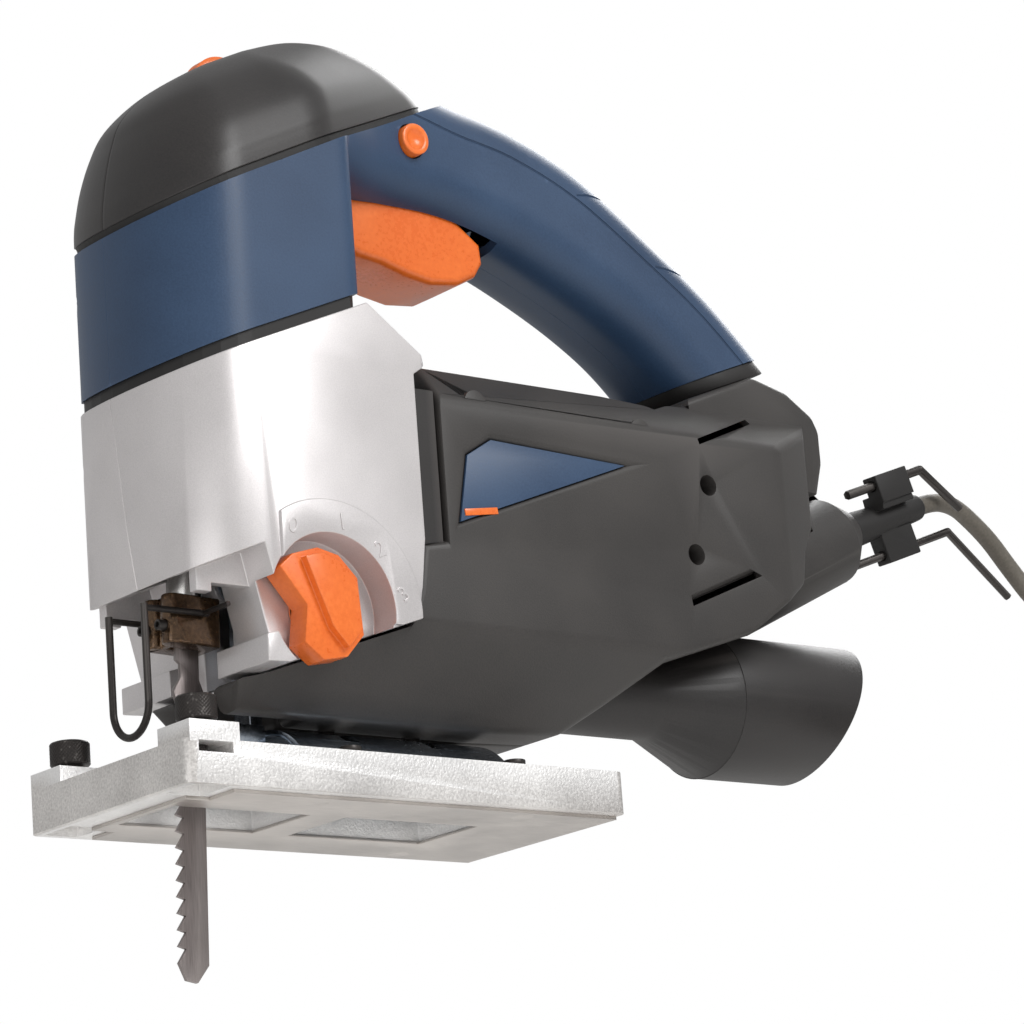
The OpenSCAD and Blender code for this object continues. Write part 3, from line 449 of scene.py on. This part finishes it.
# %% Helpers for laid shells
def between(rows, share):
    """Values of a table at a share of its length, on a smooth curve through its rows."""
    place = min(max(share, 0), 1) * (len(rows) - 1)
    i = min(int(place), len(rows) - 2)
    t = place - i
    a, b, c, d = rows[max(i - 1, 0)], rows[i], rows[i + 1], rows[min(i + 2, len(rows) - 1)]
    return [0.5 * (2 * q + (r - p) * t + (2 * p - 5 * q + 4 * r - s) * t * t + (3 * q - p - 3 * r + s) * t ** 3)
            for p, q, r, s in zip(a, b, c, d)]


def along(points, share):
    """The point at a share of an outline's length."""
    steps = [math.dist(a, b) for a, b in zip(points, points[1:])]
    left = share * sum(steps)
    for a, b, step in zip(points, points[1:], steps):
        if left <= step and step > 0:
            return [p + (q - p) * left / step for p, q in zip(a, b)]
        left -= step
    return list(points[-1])


def laid(name, columns, rows, place):
    pick()
    bpy.ops.mesh.primitive_grid_add(x_subdivisions=columns, y_subdivisions=rows, size=1)
    obj = bpy.context.object
    for vertex in obj.data.vertices:
        vertex.co = Vector(place(vertex.co.x + 0.5, vertex.co.y + 0.5)) * MM
    return settle(obj, name)


def close_up(obj):
    """Merges the seam of a laid tube, closes its ends and turns its faces outwards."""
    edit(obj)
    bpy.ops.mesh.remove_doubles(threshold=0.01 * MM)
    bpy.ops.mesh.fill_holes(sides=0)
    bpy.ops.mesh.normals_make_consistent(inside=False)
    leave()
    return obj


def remove(obj, *cutters):
    """Cuts the shapes of other pieces out of this one, and clears them away."""
    for cutter in cutters:
        use(obj, "BOOLEAN", object=cutter, operation="DIFFERENCE", solver="EXACT")
        bpy.data.objects.remove(cutter)


def join_to(obj, other):
    use(obj, "BOOLEAN", object=other, operation="UNION", solver="EXACT")
    bpy.data.objects.remove(other)


def rod(a, b, radius, sides=48):
    """A round bar between two points, for cutting and for small turned pieces."""
    a, b = Vector(mm(*a)), Vector(mm(*b))
    pick()
    bpy.ops.mesh.primitive_cylinder_add(vertices=sides, radius=radius * MM, depth=(b - a).length,
                                        location=(a + b) / 2, rotation=(b - a).to_track_quat("Z", "Y").to_euler())
    return settle(bpy.context.object, "rod")


def block(low, high, name="block"):
    pick()
    bpy.ops.mesh.primitive_cube_add(size=1, location=mm(*((p + q) / 2 for p, q in zip(low, high))))
    bpy.context.object.scale = mm(*(q - p for p, q in zip(low, high)))
    return settle(bpy.context.object, name)


# %% [markdown]
# The cap is a helmet in two halves. Seen from above, its outline is a blunt nose, straight sides and a
# narrower round tail. It shrinks as it rises, and closes along a short crest. Each half is laid from nose to
# tail and from seam to crest, then given its wall, so a fine parting line runs down the middle.

# %% Cap halves
cap_rise = math.atan(0.48)
cap_rows = [(1.1, -19.9, 102.2, 35.9), (4.5, -18.2, 101, 35.7), (8, -16, 99, 35.2), (15, -11, 94, 33),
            (22, -5, 87.5, 28.5), (28, 2, 80, 22.5), (32.5, 14, 70, 14.5), (34.6, 28, 60, 7.5), (35.4, 40, 50, 0.1)]
cap_outlines = {}


def cap_outline(share):
    if share not in cap_outlines:
        height, front, rear, w = between(cap_rows, share)
        w = max(w, 0.1)
        depth, tail = 26 * w / 36, 19 * w / 36
        middle = min(front + 1.6 * depth + 10, rear - tail)
        lean = math.asin(min((w - tail) / max(rear - tail - middle, 0.001), 0.99))
        nose = [math.radians(6 * i) for i in range(16)]
        points = [(front + depth - depth * math.cos(a), w * math.sin(a)) for a in nose]
        points += [(middle + w * math.sin(lean * i / 8), w * math.cos(lean * i / 8)) for i in range(9)]
        bend = [lean + (math.pi / 2 - lean) * i / 12 for i in range(13)]
        points += [(rear - tail + tail * math.sin(a), tail * math.cos(a)) for a in bend]
        cap_outlines[share] = height, points
    return cap_outlines[share]


def cap_half(side):
    def place(across, up):
        height, points = cap_outline(up)
        back, out = along(points, across)
        return (height * math.sin(cap_rise) - back * math.cos(cap_rise), side * max(out, 0.06),
                173.5 + back * math.sin(cap_rise) + height * math.cos(cap_rise))
    return laid("cap_half", 110, 56, place)


for side, name in ((1, "cap_left"), (-1, "cap_right")):
    cap = cap_half(side)
    if side > 0:
        edit(cap)
        bpy.ops.mesh.flip_normals()
        leave()
    outwards = sum((f.center - Vector(mm(-30, 0, 190))).dot(f.normal) * f.area for f in cap.data.polygons)
    if outwards < 0:
        edit(cap)
        bpy.ops.mesh.flip_normals()
        leave()
    use(cap, "SOLIDIFY", thickness=2.6 * MM, offset=-1)
    remove(cap, rod((-24, -3.6, 213.6), (-24, 3.6, 213.6), 11.6, 96))
    rounded(cap, 0.2, 2, 50, 45)
    cap.name = name + "_moulding"
    claim(cap, name)
    print(cap.name, len(cap.data.polygons))

# %% [markdown]
# The blue moulding is a belt round the head that flows into the handle. Two plain forms are joined, turned
# into fine even skin and smoothed, which leaves a soft hollow where they meet. Only then are the seams cut,
# so that they stay crisp, and the inside, the trigger's slot and the screw holes are taken out.

# %% Belt and handle
handle_rows = [(-30, 193, 0, 50, 35, 14), (-46, 203, 0, 42, 32, 14), (-62, 203.5, 0, 41, 25, 14),
               (-76, 203, 4, 41, 22, 14), (-94, 200.5, 10, 39, 20.5, 14), (-114, 196.5, 18, 40, 20, 14),
               (-137, 188, 27, 39.5, 20, 14), (-164, 173, 36, 35.5, 20.5, 14), (-185, 158, 42, 34.5, 21, 14),
               (-210, 133, 46, 35, 22, 14)]


def handle_point(angle, share, inset=0.0):
    """Point of the handle's skin: the angle is 0 on the left side and 90 on top."""
    x, z, fall, height, half, corner = between(handle_rows, share)
    quarter, r = int(angle % 360 // 90), corner - inset
    out = (1 if quarter in (0, 3) else -1) * (half - corner) + r * math.cos(math.radians(angle))
    high = (1 if quarter < 2 else -1) * (height / 2 - corner) + r * math.sin(math.radians(angle))
    fall = math.radians(fall)
    return x - high * math.sin(fall), out, z + high * math.cos(fall)


def belt(inset, lower):
    front, deep, half, rear = 18.6 - inset, 24 - inset, 36 - inset, -44.5 + inset
    nose = [math.radians(90 - 5 * i) for i in range(37)]
    plan = [(front - deep + deep * math.cos(a), half * math.sin(a)) for a in nose]
    plan += [(rear + 4, -half), (rear + 1.2, -half + 1.2), (rear, -half + 4), (rear, half - 4),
             (rear + 1.2, half - 1.2), (rear + 4, half), plan[0]]

    def place(across, up):
        x, y = along(plan, across)
        low = lower - 0.415 * x
        return x, y, low + (178 - 0.48 * x - low) * up
    return close_up(laid("belt", 180, 3, place))


def core(inset):
    def place(across, up):
        return handle_point(45 + 359.999 * across, up, inset)
    return close_up(laid("core", 96, 80, place))


skin = core(0)
join_to(skin, belt(0, 122))
use(skin, "REMESH", mode="VOXEL", voxel_size=1.05 * MM)
use(skin, "SMOOTH", factor=0.5, iterations=10)
print("skin faces", len(skin.data.polygons))


def slice_off(obj, point, normal):
    edit(obj)
    bpy.ops.mesh.bisect(plane_co=mm(*point), plane_no=normal, use_fill=True, clear_outer=True)
    leave()


slice_off(skin, (0, 0, 172.4), (0.48, 0, 1))
slice_off(skin, (0, 0, 73), (-0.382, 0, -1))


def under_belt(across, up):
    x, y = along([(-48, -60), (40, -60), (40, 60), (-48, 60), (-48, -60)], across)
    return x, y, (128 - 0.415 * x) * up + 60 * (1 - up)


remove(skin, close_up(laid("under_belt", 132, 2, under_belt)))
hollow = core(3)
join_to(hollow, belt(3, 110))
remove(skin, hollow, block((-113, -13, 150), (-47.5, 13, 190)), rod((-76, 0, 201), (-76, 40, 201), 5.3))
remove(skin, *(rod((x, -60, z), (x, 7 - deep, z), 3.2) for x, z, deep in
               ((10, 152, 28), (-34, 160, 35), (-128, 190, 19), (-166, 163, 20))))
print("handle and belt", len(skin.data.polygons))

# %% [markdown]
# The handle's soft pad has an edge that runs down its side, with cross cuts where the palm bends. Each line
# is a thin bar bent along the skin, and it is cut in. Then the moulding is parted down the middle.

# %% Pad lines and the two halves
def groove(obj, stops, radius=0.55, points=36):
    """Cuts a fine line along the handle between stops, each an angle and a share of its length."""
    data = bpy.data.curves.new("line", "CURVE")
    data.dimensions = "3D"
    data.bevel_depth = radius * MM
    data.bevel_resolution = 1
    data.use_fill_caps = True
    thread = data.splines.new("POLY")
    thread.points.add(points - 1)
    for i, point in enumerate(thread.points):
        point.co = (*mm(*handle_point(*between(stops, i / (points - 1)))), 1)
    line = bpy.data.objects.new("line", data)
    bpy.context.scene.collection.objects.link(line)
    pick(line)
    bpy.ops.object.convert(target="MESH")
    remove(obj, bpy.context.object)


for mirror in (1, -1):
    def seen(angle, mirror=mirror):
        return angle if mirror > 0 else 180 - angle
    groove(skin, [(seen(2), 0.31), (seen(3), 0.5), (seen(3), 0.75), (seen(5), 0.97)], points=60)
    groove(skin, [(seen(76), 0.715), (seen(45), 0.70), (seen(8), 0.665)])
    groove(skin, [(seen(76), 0.845), (seen(45), 0.83), (seen(8), 0.785)])
for side, name in ((1, "grip_left"), (-1, "grip_right")):
    half = bpy.data.objects.new(name + "_moulding", skin.data.copy())
    bpy.context.scene.collection.objects.link(half)
    slice_off(half, (0, 0.05 * side, 0), (0, -side, 0))
    smooth(half, 42)
    claim(half, name)
    print(half.name, len(half.data.polygons))
bpy.data.objects.remove(skin)

# %% [markdown]
# ## The numbered scale
# The scale of the orbital lever stands up from the silver shell as an arc, and its numbers stand up from the
# arc. Each number is set as text, made a mesh, and turned half way round with the arc, so it reads upright.

# %% Raised numbers
lever_centre = (-26.5, 53.5)
for number, (x, z) in enumerate(((-13.8, 74.6), (-30.5, 77.2), (-43.0, 70.8), (-50.2, 58.6))):
    pick()
    bpy.ops.object.text_add(location=mm(x, 37.15, z))
    label = bpy.context.object
    label.data.body = str(number)
    label.data.align_x = "CENTER"
    label.data.align_y = "CENTER"
    label.data.size = 6.4 * MM
    label.data.extrude = 0.28 * MM
    label.data.bevel_depth = 0.06 * MM
    lean = math.atan2(x - lever_centre[0], z - lever_centre[1]) / 2
    label.rotation_euler = (math.radians(90), lean, math.radians(180))
    bpy.ops.object.convert(target="MESH")
    settle(label, f"scale_number_{number}")
    smooth(label, 40)
    attach(label, "housing", "silver_shell")
print("numbers: 4")

# %% [markdown]
# ## Turned and knurled pieces
# A turned piece is a profile of heights and radii that goes round an axis. On the thumb screws the wide
# stretch is knurled: two sets of slanted ridges cross into small diamonds that a finger can grip.

# %% Turned pieces
def turned(name, profile, frame_of, columns, rows, ridges=None):
    """Lays a tube round an axis: the profile gives height and radius, and ridges cut into it."""
    def place(across, up):
        height, radius = along(profile, up)
        turn_by = 2 * math.pi * across
        radius -= ridges(turn_by, height) if ridges else 0
        return frame_of @ Vector((radius * math.cos(turn_by), radius * math.sin(turn_by), height))
    return close_up(laid(name, columns, rows, place))


def diamonds(turn_by, height):
    if not 20.0 < height < 25.4:
        return 0
    ridge = abs(math.sin(17 * turn_by + 2.9 * height)) + abs(math.sin(17 * turn_by - 2.9 * height))
    return 0.3 * (1 - ridge / 2)


screw_profile = [(10, 2.4), (18.3, 2.4), (18.4, 4), (19.3, 4), (19.4, 5.2), (19.9, 5.65), (25.5, 5.65),
                 (26.0, 5.3), (26.3, 4.4), (26.3, 1.2)]
for side, name in ((1, "thumb_screw_left"), (-1, "thumb_screw_right")):
    knob = turned(name + "_knurled", screw_profile, Matrix.Translation((17.2, 31 * side, 0)), 204, 84, diamonds)
    smooth(knob, 30)
    claim(knob, name)


def teeth(turn_by, height):
    return 0.35 * (0.5 + 0.5 * math.cos(48 * turn_by)) if 0.7 < height < 5.3 else 0


wheel_frame = Matrix.Translation((-24, 3, 213.6)) @ Matrix.Rotation(math.radians(90), 4, "X")
wheel = turned("speed_wheel", [(0, 1.6), (0, 9.8), (0.6, 10.9), (5.4, 10.9), (6, 9.8), (6, 1.6)], wheel_frame,
               240, 30, teeth)
smooth(wheel, 40)
claim(wheel, "speed_dial")

# %% [markdown]
# The plug is moulded on the cord: a ribbed neck that swells into a round body with a flat face. The sleeve
# tapers from the cuff down to the cord, so the cord never kinks there, and carries clips for the two keys.

# %% Plug, sleeve and the end of the cord


def plug_place(across, up):
    outline = [(-19, 3.1), (-19, 4.6), (-1, 5.6), (3, 9), (9, 14.8), (15, 16.7), (24, 17), (31, 17), (33, 16.2),
               (34, 14), (34, 0.3)]
    behind, radius = along(outline, up)
    if -17 < behind < -2:
        radius += 0.5 * (math.cos(2 * math.pi * behind / 3) > 0)
    angle = 2 * math.pi * across
    drop = 29 if behind > 3 else 29 - 1.5 * min((3 - behind) / 10, 1)
    return -316 + behind, 100 + radius * math.cos(angle), drop + radius * math.sin(angle)


plug = close_up(laid("plug_moulding", 96, 120, plug_place))
rounded(plug, 0.15, 1, 50, 45)
claim(plug, "plug_body")
key_place = Matrix.Translation((-291.35, 0, 118.85)) @ Matrix.Rotation(math.radians(110), 4, "Y")
sleeve = turned("sleeve", [(0, 3.05), (0, 3.9), (0.8, 4.3), (6, 4.6), (36, 5.9), (43.5, 5.95), (43.5, 3.05)],
                key_place, 64, 60)
for low, high in (((-14, 3, 8), (-5, 9, 23)), ((4, -3, 8), (14, 3, 23)), ((-8, 0, 8), (-3, 8, 23))):
    clip = block(low, high, "clip")
    clip.data.transform(Matrix.Translation(key_place.translation * MM) @ key_place.to_3x3().to_4x4())
    join_to(sleeve, clip)
for off, aside, bore in ((-11, 6, 1.75), (11, 0, 1.55)):
    remove(sleeve, rod(key_place @ Vector((off, aside, -20)), key_place @ Vector((off, aside, 50)), bore, 32))
rounded(sleeve, 0.4, 2, 40, 40)
sleeve.name = "cord_sleeve_moulding"
claim(sleeve, "cord_sleeve")

# %% [markdown]
# ## Small trim
# A plain orange bar lies on each side panel. The soles of the four rivets that hold the sheet to the casting
# show as low round heads.

# %% Bars and rivets
for side in (1, -1):
    bar = block((-88.5, 33.55, 85.6), (-76.5, 34.05, 87.6), "panel_bar")
    bar.data.transform(Matrix.Translation(mm(-82, 0, 86.6)) @ Matrix.Rotation(math.radians(8), 4, "Y")
                       @ Matrix.Translation(mm(82, 0, -86.6)))
    if side < 0:
        bar.data.transform(Matrix.Scale(-1, 4, (0, 1, 0)))
        close_up(bar)
    rounded(bar, 0.15)
    bar.name = "panel_bar_left" if side > 0 else "panel_bar_right"
    attach(bar, "housing", "orange_plastic")
for i, (x, y) in enumerate(((-22, 29), (-22, -29), (-93, 29), (-93, -29))):
    rivet = turned("rivet", [(0.02, 3.2), (-0.06, 2.9), (-0.1, 2), (-0.1, 0.2)], Matrix.Translation((x, y, 0)), 48, 12)
    rivet.name = f"sole_rivet_{i}"
    smooth(rivet)
    attach(rivet, "base", "sole_steel")
print("bars 2, rivets 4")

# %% [markdown]
# ## Stage and light
# A pale floor lies well below, because the tool is looked at from under its sole. The world is a soft white
# tent, and three large lamps shape the body: a key from the left and above, a low fill and a rim.

# %% Floor, tent and lamps
pick()
bpy.ops.mesh.primitive_plane_add(size=12, location=(0, 0, -0.36))
floor = bpy.context.object
floor.name = "floor"
floor.data.materials.append(surface("painted_studio_floor", "#f4f3f1", "#efeeec", 3, 0.02, (0.6, 0.75)))
tent = bpy.data.worlds.new("tent")
bpy.context.scene.world = tent
tent.use_nodes = True
tent_tree = tent.node_tree
tent_tree.nodes["Background"].inputs["Color"].default_value = linear("#ffffff")
tent_tree.nodes["Background"].inputs["Strength"].default_value = 0.5
backdrop = add(tent_tree, "ShaderNodeBackground", values={"Color": linear("#ffffff"), "Strength": 1.0})
seen_directly = add(tent_tree, "ShaderNodeLightPath").outputs["Is Camera Ray"]
either = add(tent_tree, "ShaderNodeMixShader", {0: seen_directly, 1: tent_tree.nodes["Background"].outputs[0],
                                                2: backdrop.outputs[0]})
tent_tree.links.new(either.outputs[0], tent_tree.nodes["World Output"].inputs["Surface"])


def lamp(name, place, size, power):
    data = bpy.data.lights.new(name, "AREA")
    data.shape = "DISK"
    data.size = size
    data.energy = power
    obj = bpy.data.objects.new(name, data)
    bpy.context.scene.collection.objects.link(obj)
    aim = Vector((-0.1, 0, 0.1)) - Vector(place)
    obj.matrix_world = Matrix.Translation(place) @ aim.to_track_quat("-Z", "Y").to_matrix().to_4x4()


lamp("key", (-0.3, 1.3, 1.0), 0.9, 16)
lamp("fill", (0.9, 0.7, -0.3), 1.0, 4)
lamp("rim", (-1.1, -0.5, 0.9), 0.8, 8)
bpy.context.scene.view_settings.view_transform = "Standard"
print("lamps: 3")
